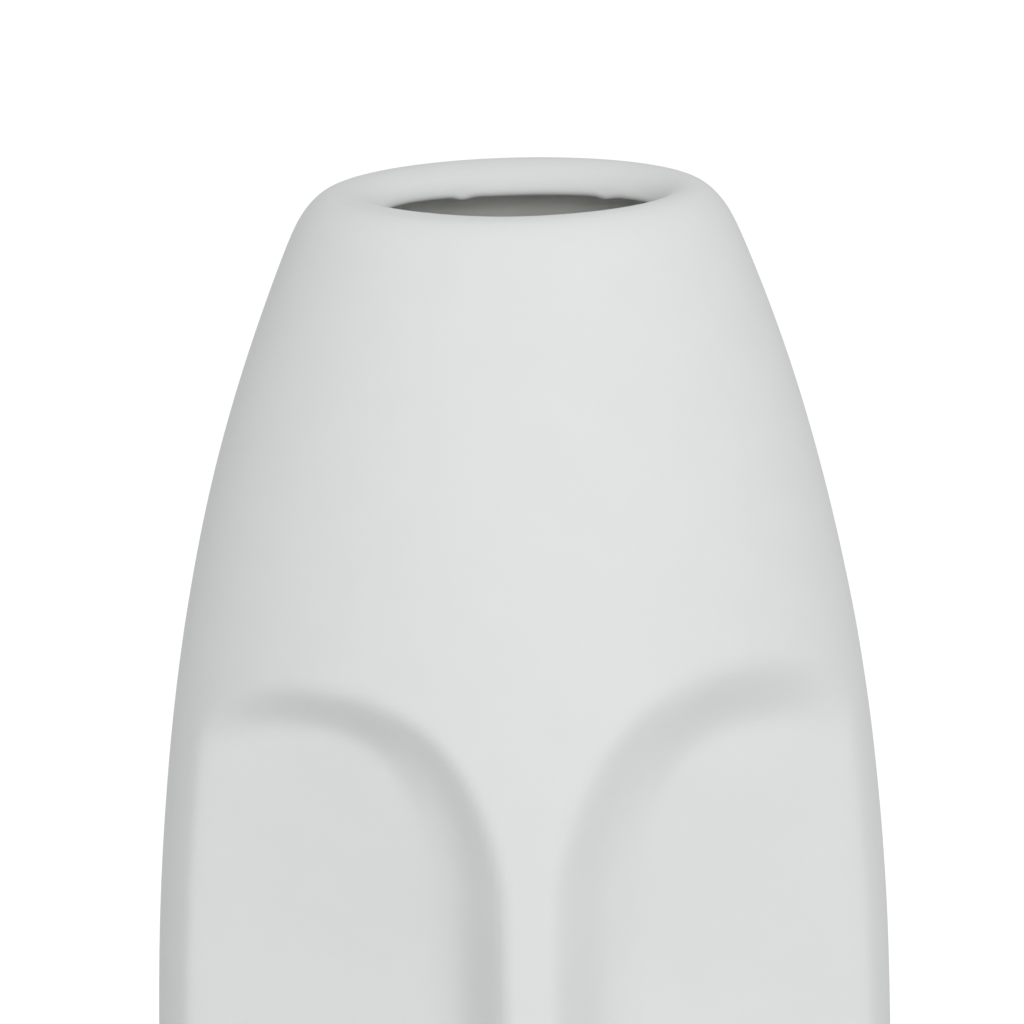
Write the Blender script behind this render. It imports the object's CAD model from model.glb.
# Tall face vase: a slip-cast ceramic body with a matt white glaze, standing on felt pads.
import math

import bpy
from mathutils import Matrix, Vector, noise


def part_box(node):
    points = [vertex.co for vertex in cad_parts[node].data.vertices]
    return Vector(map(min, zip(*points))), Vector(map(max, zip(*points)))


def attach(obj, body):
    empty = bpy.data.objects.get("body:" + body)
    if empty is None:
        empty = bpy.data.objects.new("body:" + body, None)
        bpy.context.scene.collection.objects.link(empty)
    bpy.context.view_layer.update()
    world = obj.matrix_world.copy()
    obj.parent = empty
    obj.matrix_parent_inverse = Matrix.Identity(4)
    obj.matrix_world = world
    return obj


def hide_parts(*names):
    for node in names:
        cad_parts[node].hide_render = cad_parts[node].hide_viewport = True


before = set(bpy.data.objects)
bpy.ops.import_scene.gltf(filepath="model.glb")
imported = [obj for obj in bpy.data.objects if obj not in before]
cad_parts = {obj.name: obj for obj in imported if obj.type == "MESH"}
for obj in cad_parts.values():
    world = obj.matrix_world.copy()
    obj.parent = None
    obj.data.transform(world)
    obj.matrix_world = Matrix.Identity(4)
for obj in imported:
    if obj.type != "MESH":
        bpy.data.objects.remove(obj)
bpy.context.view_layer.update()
print("frame loaded:", ", ".join(sorted(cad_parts)))


# Small helpers

def linearColour(hexColour):
    # sRGB hex to the linear numbers that the shader sockets take
    channels = [int(hexColour[i:i + 2], 16) / 255 for i in (1, 3, 5)]
    linear = [c / 12.92 if c <= 0.04045 else ((c + 0.055) / 1.055) ** 2.4 for c in channels]
    return (*linear, 1.0)


def mix(low, high, share):
    return low + (high - low) * share


def ease(t):
    t = max(0.0, min(1.0, t))
    return t * t * (3 - 2 * t)


def addNode(tree, kind, settings=None, inputs=None):
    # one node with its settings; an input is a plain value, or a socket to link from
    node = tree.nodes.new(kind)
    for name, value in (settings or {}).items():
        setattr(node, name, value)
    for name, value in (inputs or {}).items():
        if isinstance(value, bpy.types.NodeSocket):
            tree.links.new(value, node.inputs[name])
        else:
            node.inputs[name].default_value = value
    return node


def newMaterial(name):
    material = bpy.data.materials.new(name)
    material.use_nodes = True
    material.node_tree.nodes.clear()
    return material, material.node_tree


def finishPiece(piece, replaced):
    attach(piece, "root")
    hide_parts(replaced)


# Vase body

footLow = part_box("vase_body")[0]

vase = {
    "columns": 80,             # facets round the body before subdivision
    "subdivisions": 2,
    "width": 0.128,
    "depth": 0.102,
    "footZ": footLow.z,
    "crestZ": 0.305,
    "waistZ": 0.118,           # the widest place
    "sideFullness": 3.0,       # how long the side stays upright above the waist
    "sideTaper": 0.8,          # how straight it then leans in; 2 and 2 would be an oval
    "sideSteps": ((0.022, 3), (0.070, 6), (0.128, 11), (0.206, 7), (0.231, 5)),  # rings up to each height
    "shoulderSteps": 6,        # and from there up to the shoulder
    "shoulderWidth": 0.0765,   # where the side turns into the shoulder
    "shoulderDrop": 0.008,
    "shoulderFullness": 2.4,
    "footWidth": 0.078,
    "wall": 0.005,
    "crestWidth": 0.0605,
    "crestDepth": 0.0468,
    "rollIn": 0.008,           # the rim rolls inward and down to its lip
    "rollInSide": 0.0070,      # and less far at the sides
    "rollDrop": 0.0054,
    "lipOffset": 0.0016,       # the opening was trimmed off centre, to the right
    "lipRise": 0.0007,         # and stands a little higher at its left end
    "undercut": 0.005,         # the inner wall opens out again below it
    "rimSlant": 0.01,          # the rim climbs a little to the right
    "footRing": 0.013,
    "footHollow": 0.002,
    "footRound": 0.0012,
    "creaseHold": 0.0004,      # rings this near a corner keep it crisp when it is subdivided
    "floorThickness": 0.005,
    "floorRound": 0.012,
    "linerSteps": 9,
    "floorShares": (0.6, 0.2),  # rings on the floor, so that the last cap is small
    "glazeEdge": 0.0032,       # the glaze is wiped off below this height above the foot
    "glazeLip": 0.00025,       # and stands this far proud where it stops
    "waver": 0.00022,          # hand-fettled unevenness of the surface
    "waverSize": 0.045,
    "waverStart": 0.125,       # share of the height over which it grows from the foot
}

vase["shoulderZ"] = vase["crestZ"] - vase["shoulderDrop"]
vase["lipZ"] = vase["crestZ"] - vase["rollDrop"]
vase["neckZ"] = vase["lipZ"] - vase["undercut"]
vase["hollowZ"] = vase["footZ"] + vase["footHollow"]
vase["floorZ"] = vase["hollowZ"] + vase["floorThickness"]
vase["depthShare"] = vase["depth"] / vase["width"]
vase["upperReach"] = (vase["shoulderZ"] - vase["waistZ"]) / (
    1 - (vase["shoulderWidth"] / vase["width"]) ** vase["sideTaper"]) ** (1 / vase["sideFullness"])
vase["lowerReach"] = (vase["waistZ"] - vase["footZ"]) / math.sqrt(
    1 - (vase["footWidth"] / vase["width"]) ** 2)
vase["innerShare"] = 1 - vase["wall"] / vase["width"]


def halfWidth(z):
    # the side profile is an oval below the waist and a fuller curve above it
    if z > vase["waistZ"]:
        climb = min(1.0, (z - vase["waistZ"]) / vase["upperReach"])
        return vase["width"] / 2 * (1 - climb ** vase["sideFullness"]) ** (1 / vase["sideTaper"])
    fall = (vase["waistZ"] - z) / vase["lowerReach"]
    return vase["width"] / 2 * math.sqrt(max(0.0, 1 - fall * fall))


def ovalShare(x, y, z):
    # how far out a point lies at its height: 1 on the side, 0 in the middle
    half = halfWidth(z)
    return math.hypot(x / half, y / (half * vase["depthShare"]))


def crestShare(x, y):
    return math.hypot(2 * x / vase["crestWidth"], 2 * y / vase["crestDepth"])


def spread(low, high, steps):
    return [mix(low, high, (i + 1) / steps) for i in range(steps)]


def footRings():
    outer = vase["footWidth"] / 2
    outerDeep = outer * vase["depthShare"]
    ring, edge, hold = vase["footRing"], vase["footRound"], vase["creaseHold"]
    rings = []
    for inset, z in (
        (ring + hold, vase["hollowZ"]),
        (ring, vase["hollowZ"]),
        (ring, vase["hollowZ"] - hold),
        (ring, vase["footZ"] + hold),
        (ring - hold, vase["footZ"]),
        (edge + hold, vase["footZ"]),
        (edge * 0.3, vase["footZ"] + edge * 0.3),  # halfway round the edge
    ):
        rings.append((outer - inset, outerDeep - inset, z))
    # bare clay up to the glaze, which stops in a soft raised line
    for rise, proud in ((edge, 0), (vase["glazeEdge"] - hold, 0), (vase["glazeEdge"], vase["glazeLip"])):
        z = vase["footZ"] + rise
        rings.append((halfWidth(z) + proud, halfWidth(z) * vase["depthShare"] + proud, z))
    return rings


def sideRings():
    heights = []
    low = vase["footZ"] + vase["glazeEdge"]
    for high, steps in vase["sideSteps"]:
        heights += spread(low, high, steps)
        low = high
    heights += spread(low, vase["shoulderZ"], vase["shoulderSteps"])
    return [(halfWidth(z), halfWidth(z) * vase["depthShare"], z) for z in heights]


def rimRings():
    crestHalf, crestDeep = vase["crestWidth"] / 2, vase["crestDepth"] / 2
    lipHalf, lipDeep = crestHalf - vase["rollInSide"], crestDeep - vase["rollIn"]
    rings = []
    for turn in (22.5, 45, 67.5, 89.9):  # shoulder, a full quarter oval up to the crest
        fuller = 2 / vase["shoulderFullness"]
        c, s = math.cos(math.radians(turn)) ** fuller, math.sin(math.radians(turn)) ** fuller
        z = mix(vase["shoulderZ"], vase["crestZ"], s)
        half = halfWidth(z)
        rings.append((mix(crestHalf, half, c), mix(crestDeep, half * vase["depthShare"], c), z))
    for turn in (22.5, 45, 67.5, 90):  # roll, a quarter oval in and down to the lip
        c, s = math.cos(math.radians(turn)), math.sin(math.radians(turn))
        z = vase["crestZ"] - vase["rollDrop"] * (1 - c)
        rings.append((crestHalf - vase["rollInSide"] * s, crestDeep - vase["rollIn"] * s, z))
    neckHalf = halfWidth(vase["neckZ"]) - vase["wall"]
    neckDeep = halfWidth(vase["neckZ"]) * vase["depthShare"] - vase["wall"]
    for turn in (18, 42, 66, 90):  # undercut below the lip
        c, s = math.cos(math.radians(turn)), math.sin(math.radians(turn))
        z = vase["neckZ"] + vase["undercut"] * c
        rings.append((mix(lipHalf, neckHalf, s), mix(lipDeep, neckDeep, s), z))
    return rings


def linerRings():
    cornerTop = vase["floorZ"] + vase["floorRound"]
    heights = spread(vase["neckZ"], cornerTop, vase["linerSteps"])
    for turn in (30, 60, 90):  # the round corner down to the floor
        heights.append(vase["floorZ"] + vase["floorRound"] * (1 - math.sin(math.radians(turn))))
    rings = []
    for z in heights:
        sink = max(0.0, cornerTop - z) / vase["floorRound"]
        pull = vase["wall"] + vase["floorRound"] * (1 - math.sqrt(max(0.0, 1 - sink * sink)))
        rings.append((halfWidth(z) - pull, halfWidth(z) * vase["depthShare"] - pull, z))
    return rings


# Face, carved into the front after the body is subdivided

# (pairs are for the left and the right of the picture: the two halves were modelled by hand)

face = {
    "browZ": (0.2280, 0.2290),       # top of the brow arches
    "archX": 0.036,                  # middle of each arch, from the middle of the face
    "archOuter": 0.027,
    "outerRise": 0.045,
    "outerFullness": 2.3,            # 2 would be an oval
    "innerRise": (0.045, 0.050),     # the inner side of each arch runs on down into the nose
    "innerFullness": (2.3, 2.15),
    "archHeart": 0.3,                # the arch is cut to its full depth within this share of its reach
    "browLedge": (0.0118, 0.0165),
    "ledgeTaper": 0.35,              # share of that width left where the brow runs out at the cheek's fold
    "softEdge": (0.0012, 0.0028),    # how far the cut's edge is rubbed back
    "cheekAngle": 25,                # degrees the flat cheek turns away from the front under the brow
    "jawAngle": 17.5,                # and lower down, beside the nose and the mouth
    "turnLow": 0.168,                # heights between which one angle turns into the other
    "turnHigh": 0.215,
    "foldShare": 0.925,              # the cheek's outer fold, as a share of the half width
    "foldSoft": (0.0014, 0.0022),
    "keelSoft": 0.008,               # how softly the two cheeks would meet in the middle
    "jawLow": 0.022,                 # heights between which the cut fades out downwards
    "jawHigh": 0.072,
    "noseWidth": (0.0106, 0.0060),   # twice the half on each side
    "noseTipWidth": 0.017,
    "noseTipZ": 0.112,
    "noseFlare": 0.048,              # height over which the nose widens to its tip
    "noseCorner": 0.007,
    "noseFlank": (0.0132, 0.0176),   # how wide the slope is beside the nose
    "noseUnder": 0.008,              # and under its tip
    "scoopFrom": 0.028,              # the ledge is evenly rounded outside this, and scooped inside the next
    "scoopTo": 0.010,
    "scoopBite": (4.0, 3.4),         # how near its start the scoop is steepest
    "sideBlend": 0.008,              # width over which the left's values turn into the right's
    "browReach": 0.005,              # nothing is carved this far above the brows
    "mouthZ": 0.087,                 # mouth and chin lie below the photograph's edge: plain, our own
    "lipWidth": 0.027,
    "lipHeight": 0.0076,
    "lipOut": 0.0036,
    "lipEnds": 0.6,                  # how thick a lip is at its ends
    "lipMiddle": 0.9,
    "chinZ": 0.058,
    "chinWidth": 0.030,
    "chinHeight": 0.020,
    "chinOut": 0.003,
}


def scoop(t, bite):
    # steep soon after the cut starts and a wide fillet where it ends, as a loop tool leaves clay
    t = max(0.0, min(1.0, t))
    return 1 - (1 - t) ** bite * (1 + bite * t)


def bySide(pair, x):
    return mix(pair[0], pair[1], ease(x / face["sideBlend"] + 0.5))


def ovalReach(half, deep, x):
    return deep * math.sqrt(max(0.0, 1 - (x / half) ** 2))


def cheekTurn(z):
    upper = ease((z - face["turnLow"]) / (face["turnHigh"] - face["turnLow"]))
    return math.radians(mix(face["jawAngle"], face["cheekAngle"], upper))


def cheekReach(half, deep, x, z):
    fold = face["foldShare"] * half
    foldRun = math.hypot(fold, face["keelSoft"])
    inward = foldRun - math.hypot(x, face["keelSoft"])
    return ovalReach(half, deep, fold) + inward * math.tan(cheekTurn(z))


def archShare(x, z, shift):
    # share of the ledge's width that a point lies inside the brow arch
    side = abs(x) - face["archX"]
    half, rise, n = face["archOuter"], face["outerRise"], face["outerFullness"]
    if side < 0:
        half = face["archX"] - bySide(face["noseWidth"], x) / 2
        rise, n = bySide(face["innerRise"], x), bySide(face["innerFullness"], x)
    archZ = bySide(face["browZ"], x) - rise
    p = abs(side) / half
    q = max(0.0, z - archZ) / rise
    r = (p ** n + q ** n) ** (1 / n)
    if r < face["archHeart"] or side < 0 and q == 0:
        return 1.0
    pSlope = (p / r) ** (n - 1) / half
    qSlope = (q / r) ** (n - 1) / rise
    slope = math.hypot(pSlope, qSlope)
    ledge = bySide(face["browLedge"], x)
    if side < 0:
        ledge = mix(ledge, bySide(face["noseFlank"], x), (pSlope / slope) ** 2)
    else:
        runOut = min(1.0, side / (face["foldShare"] * halfWidth(z) - face["archX"]))
        ledge *= mix(1, face["ledgeTaper"], runOut ** 2)
    return ((1 - r) / slope + bySide(face["softEdge"], x) + shift) / ledge


def noseShare(x, z, shift):
    # share of the flank's width that a point lies outside the nose
    widen = ease((z - face["noseTipZ"]) / face["noseFlare"])
    p = abs(x) - mix(face["noseTipWidth"], bySide(face["noseWidth"], x), widen) / 2 + face["noseCorner"]
    q = face["noseTipZ"] + face["noseCorner"] - z
    away = math.hypot(max(p, 0), max(q, 0))
    gap = away + min(max(p, q), 0) - face["noseCorner"]
    under = (max(q, 0) / away) ** 2 if away > 0 else 0
    flank = mix(bySide(face["noseFlank"], x), face["noseUnder"], under)
    return (gap + bySide(face["softEdge"], x) / 2 + shift) / flank


def cutDepth(half, deep, x, z, drop, shift):
    # how far the front is cut back: drop is 0 outside, and the wall inside
    run = min(archShare(x, z, shift), noseShare(x, z, shift))
    scooped = ease((face["scoopFrom"] - abs(x)) / (face["scoopFrom"] - face["scoopTo"]))
    share = mix(ease(run), scoop(run, bySide(face["scoopBite"], x)), scooped)
    share *= ease((z - face["jawLow"]) / (face["jawHigh"] - face["jawLow"]))
    if share == 0:
        return 0.0
    cheek = cheekReach(half + drop, deep + drop, x, z) - drop / math.cos(cheekTurn(z))
    length = ovalReach(half, deep, x) - cheek
    return share * (length + math.hypot(length, bySide(face["foldSoft"], x))) / 2


def lip(x, z, turn):
    span = max(0.0, 1 - (2 * x / face["lipWidth"]) ** 2)
    middle = face["mouthZ"] + turn * face["lipHeight"] / 2 * span
    half = face["lipHeight"] / 2 * mix(face["lipEnds"], face["lipMiddle"], span)
    return span * math.exp(-((z - middle) / half) ** 2)


def features(x, z):
    chin = (2 * x / face["chinWidth"]) ** 2 + (2 * (z - face["chinZ"]) / face["chinHeight"]) ** 2
    return face["lipOut"] * (lip(x, z, 1) + lip(x, z, -1)) + face["chinOut"] * math.exp(-chin)


def carveFace(mesh):
    for vertex in mesh.vertices:
        x, y, z = vertex.co
        if y >= 0 or not face["jawLow"] < z < max(face["browZ"]) + face["browReach"]:
            continue
        half = halfWidth(z)
        deep = half * vase["depthShare"]
        if ovalShare(x, y, z) < vase["innerShare"]:
            inner, innerDeep = half - vase["wall"], deep - vase["wall"]
            move = cutDepth(inner, innerDeep, x, z, vase["wall"], vase["wall"] / 2)
        else:
            move = cutDepth(half, deep, x, z, 0, 0) - features(x, z)
        vertex.co.y = min(0.0, y + move)


def trimOpening(mesh):
    # moves the lip off centre, evenly less towards the crest and down the undercut
    lipWidth = vase["crestWidth"] - 2 * vase["rollInSide"]
    for vertex in mesh.vertices:
        x, y, z = vertex.co
        if z < vase["neckZ"]:
            continue
        if z < vase["lipZ"] and ovalShare(x, y, z) > vase["innerShare"]:
            continue
        share = min(1.0, (z - vase["neckZ"]) / vase["undercut"])
        if z > vase["lipZ"]:
            fromCrest = (1 - crestShare(x, y)) * vase["crestWidth"] / 2 / vase["rollInSide"]
            share *= max(0.0, min(1.0, fromCrest))
        vertex.co.x += vase["lipOffset"] * share
        vertex.co.z += vase["lipRise"] * share * ease(-2 * x / lipWidth)


def fettle(mesh):
    # the slanted, slightly wavering surface that trimming by hand leaves
    rise = vase["crestZ"] - vase["footZ"]
    for vertex in mesh.vertices:
        co = vertex.co
        height = max(0.0, co.z - vase["footZ"]) / rise
        waver = noise.noise(co / vase["waverSize"]) * vase["waver"] * ease(height / vase["waverStart"])
        outward = Vector((co.x, co.y, 0)).normalized()
        vertex.co = co + outward * waver + Vector((0, 0, vase["rimSlant"] * co.x * height * height))


drips = {
    "places": ((-0.0096, 0.0005), (0.0149, 0.0004)),  # x along the far lip, and how far each hangs
    "width": 0.0013,
    "band": 0.0016,           # how far above and below the lip the glaze hangs on
    "inside": 0.84,           # share of the crest's oval that the lip lies within
}


def addDrips(mesh):
    # glaze that ran over the lip and froze there
    for vertex in mesh.vertices:
        x, y, z = vertex.co
        if y <= 0 or abs(z - vase["lipZ"]) > drips["band"] or crestShare(x, y) > drips["inside"]:
            continue
        for place, hang in drips["places"]:
            vertex.co.z -= hang * math.exp(-((x - place) / drips["width"]) ** 2)


def buildVaseBody():
    rings = footRings() + sideRings() + rimRings() + linerRings()
    half, deep, z = rings[0]
    bpy.ops.object.select_all(action="DESELECT")
    bpy.ops.mesh.primitive_circle_add(
        vertices=vase["columns"], radius=1, fill_type="NGON", location=(0, 0, z),
    )
    body = bpy.context.object
    body.name = "vaseBody"
    bpy.ops.object.mode_set(mode="EDIT")
    bpy.ops.mesh.select_mode(type="FACE")
    bpy.ops.mesh.select_all(action="SELECT")
    bpy.ops.transform.resize(value=(half, deep, 1))
    for nextHalf, nextDeep, nextZ in rings[1:]:
        bpy.ops.mesh.extrude_region_move(TRANSFORM_OT_translate={"value": (0, 0, nextZ - z)})
        bpy.ops.transform.resize(value=(nextHalf / half, nextDeep / deep, 1))
        half, deep, z = nextHalf, nextDeep, nextZ
    for share in vase["floorShares"]:
        bpy.ops.mesh.extrude_region_move(TRANSFORM_OT_translate={"value": (0, 0, 0)})
        bpy.ops.transform.resize(value=(share, share, 1))
    bpy.ops.mesh.select_all(action="SELECT")
    bpy.ops.mesh.normals_make_consistent(inside=False)
    bpy.ops.object.mode_set(mode="OBJECT")
    bpy.ops.object.transform_apply(location=True, rotation=True, scale=True)

    modifier = body.modifiers.new("subdivision", "SUBSURF")
    modifier.levels = modifier.render_levels = vase["subdivisions"]
    bpy.ops.object.modifier_apply(modifier=modifier.name)
    bpy.ops.object.shade_smooth()

    paintZones(body)
    carveFace(body.data)
    addDrips(body.data)
    trimOpening(body.data)
    fettle(body.data)
    finishPiece(body, "vase_body")


zones = {
    "ringShare": 0.9,         # the foot ring lies outside this share of the half width
    "hollowRise": 0.0005,
    "glazeBack": 0.0002,      # the clay stops just under the glaze's raised edge
    "lipBack": 0.001,         # below the lip all that faces inwards is liner
    "lipShare": 0.8,          # and nearer to it, what lies within this share of the crest
}


def paintZones(body):
    # outside glaze, liner glaze and bare clay, chosen by where each face lies before it is carved
    for material in (mattGlaze(), linerGlaze(), bareClay()):
        body.data.materials.append(material)
    for polygon in body.data.polygons:
        x, y, z = polygon.center
        share = ovalShare(x, y, z)
        onFoot = share > zones["ringShare"] or z < vase["hollowZ"] + zones["hollowRise"]
        if z < vase["footZ"] + vase["glazeEdge"] - zones["glazeBack"] and onFoot:
            polygon.material_index = 2
        elif z < vase["lipZ"] - zones["lipBack"] and share < vase["innerShare"]:
            polygon.material_index = 1
        elif z < vase["lipZ"] and crestShare(x, y) < zones["lipShare"]:
            polygon.material_index = 1


# Felt pads

pad = {
    "sides": 48,
    "edgeRound": 0.00035,
    "faceInsets": (0.0008, 0.0012, 0.0012),  # rings on the two flat faces
    "bevelShare": 0.8,        # of the edge's rounding, so that the bevel stops short of the first ring
    "bevelSteps": 3,
    "fuzz": 0.00007,          # height of the fibre tufts on the cut edge
    "tuft": 0.0006,
    "fuzzFrom": 0.9,          # share of the radius at which they start
}


def buildFeltPad(node, material):
    low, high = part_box(node)
    centre = (low + high) / 2
    radius = (high.x - low.x) / 2
    bpy.ops.object.select_all(action="DESELECT")
    bpy.ops.mesh.primitive_cylinder_add(
        vertices=pad["sides"], radius=radius, depth=high.z - low.z, end_fill_type="NGON", location=centre,
    )
    piece = bpy.context.object
    piece.name = node.replace("felt_pad", "feltPad")
    bpy.ops.object.mode_set(mode="EDIT")
    bpy.ops.mesh.select_mode(type="FACE")
    bpy.ops.mesh.select_all(action="DESELECT")
    bpy.ops.object.mode_set(mode="OBJECT")
    for polygon in piece.data.polygons:  # the two flat faces
        polygon.select = abs(polygon.normal.z) > 0.9
    bpy.ops.object.mode_set(mode="EDIT")
    for inset in (pad["edgeRound"], *pad["faceInsets"]):
        bpy.ops.mesh.inset(thickness=inset, use_individual=True)
    bpy.ops.mesh.select_all(action="DESELECT")
    bpy.ops.object.mode_set(mode="OBJECT")
    for edge in piece.data.edges:  # the two rims of the cut edge
        a, b = (piece.data.vertices[i].co for i in edge.vertices)
        onEdge = min(math.hypot(a.x, a.y), math.hypot(b.x, b.y)) > radius * 0.999
        edge.select = onEdge and abs(a.z - b.z) < 1e-6
    bpy.ops.object.mode_set(mode="EDIT")
    bpy.ops.mesh.select_mode(type="EDGE")
    bpy.ops.mesh.bevel(offset=pad["edgeRound"] * pad["bevelShare"], segments=pad["bevelSteps"])
    bpy.ops.object.mode_set(mode="OBJECT")
    bpy.ops.object.transform_apply(location=True, rotation=True, scale=True)
    modifier = piece.modifiers.new("subdivision", "SUBSURF")
    modifier.levels = modifier.render_levels = 1
    bpy.ops.object.modifier_apply(modifier=modifier.name)
    for vertex in piece.data.vertices:
        away = Vector((vertex.co.x - centre.x, vertex.co.y - centre.y, 0))
        edgeShare = ease((away.length / radius - pad["fuzzFrom"]) / (1 - pad["fuzzFrom"]))
        tuft = noise.noise(vertex.co / pad["tuft"]) * pad["fuzz"] * edgeShare
        vertex.co += away.normalized() * (tuft - pad["fuzz"])
    piece.data.materials.append(material)
    bpy.ops.object.shade_smooth()
    finishPiece(piece, node)


# Materials

def mattGlaze():
    # Opaque matt white glaze on slip-cast earthenware, sprayed and fired: no highlight, only a soft
    # bloom on rounded places, a breath of mottling, orange peel too fine to see as dots, rare pinholes
    values = {
        "white": "#E6E8E8",
        "greyed": "#E5E7E7",
        "speck": "#8F8F8B",
        "mottle": 0.009,      # metres across one cloud
        "peel": 0.0011,
        "pinholeGap": 0.034,
        "pinhole": 0.00032,
        "roughness": 0.8,
        "shine": 0.25,
    }
    material, tree = newMaterial("mattWhiteGlazeSprayed")
    place = addNode(tree, "ShaderNodeTexCoord").outputs["Object"]
    clouds = addNode(tree, "ShaderNodeTexNoise", inputs={
        "Vector": place, "Scale": 1 / values["mottle"], "Detail": 3,
    })
    tint = addNode(tree, "ShaderNodeValToRGB", inputs={"Fac": clouds.outputs["Fac"]})
    tint.color_ramp.elements[0].position = 0.36
    tint.color_ramp.elements[0].color = linearColour(values["greyed"])
    tint.color_ramp.elements[1].position = 0.62
    tint.color_ramp.elements[1].color = linearColour(values["white"])
    cells = addNode(tree, "ShaderNodeTexVoronoi", inputs={
        "Vector": place, "Scale": 1 / values["pinholeGap"],
    })
    hole = addNode(tree, "ShaderNodeMapRange", inputs={
        "Value": cells.outputs["Distance"],
        "From Min": values["pinhole"] / values["pinholeGap"] * 0.5,
        "From Max": values["pinhole"] / values["pinholeGap"] * 1.6,
        "To Min": 1.0,
        "To Max": 0.0,
    })
    colour = addNode(tree, "ShaderNodeMix", {"data_type": "RGBA"}, {
        0: hole.outputs["Result"], 6: tint.outputs["Color"], 7: linearColour(values["speck"]),
    })
    peel = addNode(tree, "ShaderNodeTexNoise", inputs={
        "Vector": place, "Scale": 1 / values["peel"], "Detail": 2,
    })
    peelBump = addNode(tree, "ShaderNodeBump", inputs={
        "Height": peel.outputs["Fac"], "Strength": 0.06, "Distance": 0.0001,
    })
    holeBump = addNode(tree, "ShaderNodeBump", {"invert": True}, {
        "Height": hole.outputs["Result"], "Strength": 0.6, "Distance": 0.0002,
        "Normal": peelBump.outputs["Normal"],
    })
    shader = addNode(tree, "ShaderNodeBsdfPrincipled", inputs={
        "Base Color": colour.outputs[2],
        "Roughness": values["roughness"],
        "Specular IOR Level": values["shine"],
        "Normal": holeBump.outputs["Normal"],
    })
    addNode(tree, "ShaderNodeOutputMaterial", inputs={"Surface": shader.outputs["BSDF"]})
    return material


def linerGlaze():
    # The same glaze poured and drained inside: it lies thicker, so it is whiter and a little glossier,
    # with slow runs down the wall
    values = {
        "white": "#FAFAF7",
        "run": "#F6F6F2",
        "runWidth": 0.006,
        "runLength": 0.07,
        "roughness": 0.42,
    }
    material, tree = newMaterial("whiteLinerGlazePoured")
    place = addNode(tree, "ShaderNodeTexCoord").outputs["Object"]
    stretched = addNode(tree, "ShaderNodeMapping", inputs={
        "Vector": place, "Scale": (1 / values["runWidth"], 1 / values["runWidth"], 1 / values["runLength"]),
    })
    runs = addNode(tree, "ShaderNodeTexNoise", inputs={
        "Vector": stretched.outputs["Vector"], "Scale": 1.0, "Detail": 2,
    })
    tint = addNode(tree, "ShaderNodeValToRGB", inputs={"Fac": runs.outputs["Fac"]})
    tint.color_ramp.elements[0].position = 0.35
    tint.color_ramp.elements[0].color = linearColour(values["run"])
    tint.color_ramp.elements[1].position = 0.65
    tint.color_ramp.elements[1].color = linearColour(values["white"])
    bump = addNode(tree, "ShaderNodeBump", inputs={
        "Height": runs.outputs["Fac"], "Strength": 0.2, "Distance": 0.0004,
    })
    shader = addNode(tree, "ShaderNodeBsdfPrincipled", inputs={
        "Base Color": tint.outputs["Color"],
        "Roughness": values["roughness"],
        "IOR": 1.5,
        "Normal": bump.outputs["Normal"],
    })
    addNode(tree, "ShaderNodeOutputMaterial", inputs={"Surface": shader.outputs["BSDF"]})
    return material


def bareClay():
    # Unglazed earthenware, wiped with a sponge: chalky, a warmer white, with a fine sandy grain
    values = {"clay": "#DCD5C6", "shade": "#CFC6B4", "grain": 0.0006, "patch": 0.006, "roughness": 0.94}
    material, tree = newMaterial("bareEarthenwareSponged")
    place = addNode(tree, "ShaderNodeTexCoord").outputs["Object"]
    patches = addNode(tree, "ShaderNodeTexNoise", inputs={
        "Vector": place, "Scale": 1 / values["patch"], "Detail": 4,
    })
    tint = addNode(tree, "ShaderNodeValToRGB", inputs={"Fac": patches.outputs["Fac"]})
    tint.color_ramp.elements[0].position = 0.38
    tint.color_ramp.elements[0].color = linearColour(values["shade"])
    tint.color_ramp.elements[1].position = 0.6
    tint.color_ramp.elements[1].color = linearColour(values["clay"])
    grain = addNode(tree, "ShaderNodeTexNoise", inputs={
        "Vector": place, "Scale": 1 / values["grain"], "Detail": 2,
    })
    bump = addNode(tree, "ShaderNodeBump", inputs={
        "Height": grain.outputs["Fac"], "Strength": 0.5, "Distance": 0.00015,
    })
    shader = addNode(tree, "ShaderNodeBsdfPrincipled", inputs={
        "Base Color": tint.outputs["Color"],
        "Roughness": values["roughness"],
        "IOR": 1.5,
        "Normal": bump.outputs["Normal"],
    })
    addNode(tree, "ShaderNodeOutputMaterial", inputs={"Surface": shader.outputs["BSDF"]})
    return material


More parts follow.
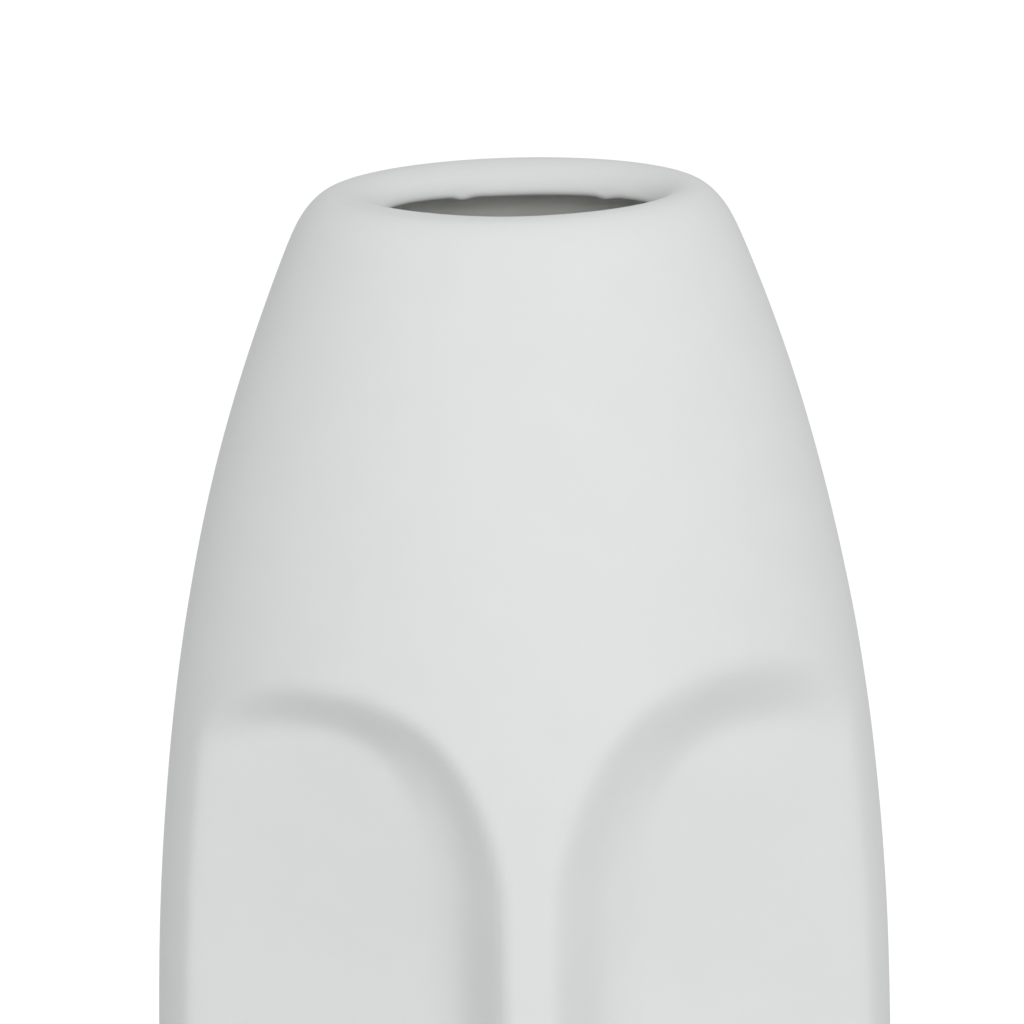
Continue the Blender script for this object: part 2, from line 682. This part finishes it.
def pressedFelt():
    # Needle-pressed wool felt, die-cut: soft edge sheen and matted fibres; they are finer than a
    # pixel, so they are drawn a little coarser than real
    values = {"wool": "#D9D5CB", "shadow": "#BDB8AC", "fibre": 0.00025, "mat": 0.0012, "roughness": 0.95}
    material, tree = newMaterial("woolFeltDieCut")
    place = addNode(tree, "ShaderNodeTexCoord").outputs["Object"]
    mats = addNode(tree, "ShaderNodeTexNoise", inputs={
        "Vector": place, "Scale": 1 / values["mat"], "Detail": 5, "Distortion": 1.4,
    })
    fibres = addNode(tree, "ShaderNodeTexVoronoi", {"feature": "DISTANCE_TO_EDGE"}, {
        "Vector": place, "Scale": 1 / values["fibre"],
    })
    tint = addNode(tree, "ShaderNodeValToRGB", inputs={"Fac": mats.outputs["Fac"]})
    tint.color_ramp.elements[0].position = 0.35
    tint.color_ramp.elements[0].color = linearColour(values["shadow"])
    tint.color_ramp.elements[1].position = 0.65
    tint.color_ramp.elements[1].color = linearColour(values["wool"])
    matBump = addNode(tree, "ShaderNodeBump", inputs={
        "Height": mats.outputs["Fac"], "Strength": 0.7, "Distance": 0.0003,
    })
    bump = addNode(tree, "ShaderNodeBump", inputs={
        "Height": fibres.outputs["Distance"], "Strength": 0.4, "Distance": 0.0001,
        "Normal": matBump.outputs["Normal"],
    })
    shader = addNode(tree, "ShaderNodeBsdfPrincipled", inputs={
        "Base Color": tint.outputs["Color"],
        "Roughness": values["roughness"],
        "Sheen Weight": 0.35,
        "Normal": bump.outputs["Normal"],
    })
    addNode(tree, "ShaderNodeOutputMaterial", inputs={"Surface": shader.outputs["BSDF"]})
    return material


def acrylicAdhesive():
    # Pressure-sensitive acrylic film: milky, slightly yellow, with a damp gloss on its cut edge
    values = {"film": "#EFEADB", "cloudy": "#E3DCC9", "cloud": 0.002, "roughness": 0.34}
    material, tree = newMaterial("acrylicAdhesiveFilm")
    place = addNode(tree, "ShaderNodeTexCoord").outputs["Object"]
    clouds = addNode(tree, "ShaderNodeTexNoise", inputs={
        "Vector": place, "Scale": 1 / values["cloud"], "Detail": 2,
    })
    tint = addNode(tree, "ShaderNodeValToRGB", inputs={"Fac": clouds.outputs["Fac"]})
    tint.color_ramp.elements[0].color = linearColour(values["cloudy"])
    tint.color_ramp.elements[1].color = linearColour(values["film"])
    bump = addNode(tree, "ShaderNodeBump", inputs={
        "Height": clouds.outputs["Fac"], "Strength": 0.2, "Distance": 0.0001,
    })
    shader = addNode(tree, "ShaderNodeBsdfPrincipled", inputs={
        "Base Color": tint.outputs["Color"],
        "Roughness": values["roughness"],
        "IOR": 1.47,
        "Normal": bump.outputs["Normal"],
    })
    addNode(tree, "ShaderNodeOutputMaterial", inputs={"Surface": shader.outputs["BSDF"]})
    return material


# Camera, light and floor

camera = {
    "distance": 1.3,
    "elevation": 15.0,        # degrees above the horizon
    "azimuth": -2.5,          # degrees round to the vase's right hand, so the face turns to the right
    "roll": -0.79,
    "aimZ": 0.2481,
    "aimSide": -0.001,
    "scale": 5850,            # pixels in one metre at the aim, in a picture 1024 pixels wide
    "picture": 1024,
    "sensor": 36.0,
}


def addCamera():
    azimuth, elevation = math.radians(camera["azimuth"]), math.radians(camera["elevation"])
    right = Vector((math.cos(azimuth), math.sin(azimuth), 0))
    level = Vector((-math.sin(azimuth), math.cos(azimuth), 0))
    forward = level * math.cos(elevation) - Vector((0, 0, 1)) * math.sin(elevation)
    aim = Vector((0, 0, camera["aimZ"])) + right * camera["aimSide"]
    bpy.ops.object.camera_add(location=aim - forward * camera["distance"])
    shot = bpy.context.object
    shot.name = "photoCamera"
    turn = forward.to_track_quat("-Z", "Y").to_euler()
    turn.rotate_axis("Z", math.radians(camera["roll"]))
    shot.rotation_euler = turn
    shot.data.sensor_width = camera["sensor"]
    shot.data.lens = camera["scale"] * camera["distance"] / camera["picture"] * camera["sensor"]
    shot.data.clip_end = 60
    bpy.context.scene.camera = shot


studio = {
    "keyFrom": (0.2, -1.28, 0.80),
    "keySize": 0.6,
    "keyPower": 5.6,
    "aim": (0, 0, 0.2),
    "roomFront": (0.15, -0.8, 0.5),  # the white room is brightest on this side
    "roomBright": 0.74,
    "roomDim": 0.47,
    "floorGrey": "#E0E0DE",
    "floorSize": 12,
    "floorGlow": 1.4,         # whitens the floor where it is seen, and lights nothing
    "glowShare": 0.6,         # the rest of it keeps the shadow
}


def addStudio():
    aim = Vector(studio["aim"])
    place = Vector(studio["keyFrom"])
    bpy.ops.object.light_add(type="AREA", location=place)
    key = bpy.context.object
    key.name = "keySoftbox"
    key.data.shape = "SQUARE"
    key.data.size = studio["keySize"]
    key.data.energy = studio["keyPower"]
    key.rotation_euler = (aim - place).to_track_quat("-Z", "Y").to_euler()

    world = bpy.data.worlds.new("whiteRoom")
    bpy.context.scene.world = world
    world.use_nodes = True
    tree = world.node_tree
    tree.nodes.clear()
    seen = seenDirectly(tree)
    direction = addNode(tree, "ShaderNodeTexCoord").outputs["Generated"]
    frontness = addNode(tree, "ShaderNodeVectorMath", {"operation": "DOT_PRODUCT"}, {
        0: direction, 1: Vector(studio["roomFront"]).normalized(),
    })
    room = addNode(tree, "ShaderNodeMapRange", inputs={
        "Value": frontness.outputs["Value"], "From Min": -1.0, "From Max": 1.0,
        "To Min": studio["roomDim"], "To Max": studio["roomBright"],
    })
    strength = addNode(tree, "ShaderNodeMapRange", inputs={
        "Value": seen, "To Min": room.outputs["Result"], "To Max": 1.0,
    })
    light = addNode(tree, "ShaderNodeBackground", inputs={
        "Color": (1, 1, 1, 1), "Strength": strength.outputs["Result"],
    })
    addNode(tree, "ShaderNodeOutputWorld", inputs={"Surface": light.outputs["Background"]})


def seenDirectly(tree):
    # 1 for camera, mirror and glass rays, which see a white room, and 0 for the rays that light things
    path = addNode(tree, "ShaderNodeLightPath")
    direct = addNode(tree, "ShaderNodeMath", {"operation": "MAXIMUM"}, {
        0: path.outputs["Is Camera Ray"], 1: path.outputs["Is Glossy Ray"],
    })
    either = addNode(tree, "ShaderNodeMath", {"operation": "MAXIMUM"}, {
        0: direct.outputs["Value"], 1: path.outputs["Is Transmission Ray"],
    })
    return either.outputs["Value"]


def addFloor():
    bpy.ops.mesh.primitive_plane_add(size=studio["floorSize"], location=(0, 0, 0))
    floor = bpy.context.object
    floor.name = "studioFloor"
    material, tree = newMaterial("palePaperSweep")
    seen = seenDirectly(tree)
    paper = addNode(tree, "ShaderNodeBsdfDiffuse", inputs={"Color": linearColour(studio["floorGrey"])})
    glow = addNode(tree, "ShaderNodeEmission", inputs={
        "Color": (1, 1, 1, 1), "Strength": studio["floorGlow"],
    })
    share = addNode(tree, "ShaderNodeMath", {"operation": "MULTIPLY"}, {0: seen, 1: studio["glowShare"]})
    both = addNode(tree, "ShaderNodeMixShader", inputs={
        0: share.outputs["Value"], 1: paper.outputs["BSDF"], 2: glow.outputs["Emission"],
    })
    addNode(tree, "ShaderNodeOutputMaterial", inputs={"Surface": both.outputs["Shader"]})
    floor.data.materials.append(material)


addCamera()
addStudio()
addFloor()
print("camera, light and floor ready")

buildVaseBody()
print("vase body carved")

felt = pressedFelt()
for name in sorted(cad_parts):
    if name.startswith("felt_pad"):
        buildFeltPad(name, felt)
print("felt pads cut")

adhesive = acrylicAdhesive()
for name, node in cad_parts.items():
    if name.startswith("adhesive_film"):
        node.data.materials.clear()
        node.data.materials.append(adhesive)
print("adhesive films finished")

bpy.context.scene.view_settings.view_transform = "Standard"
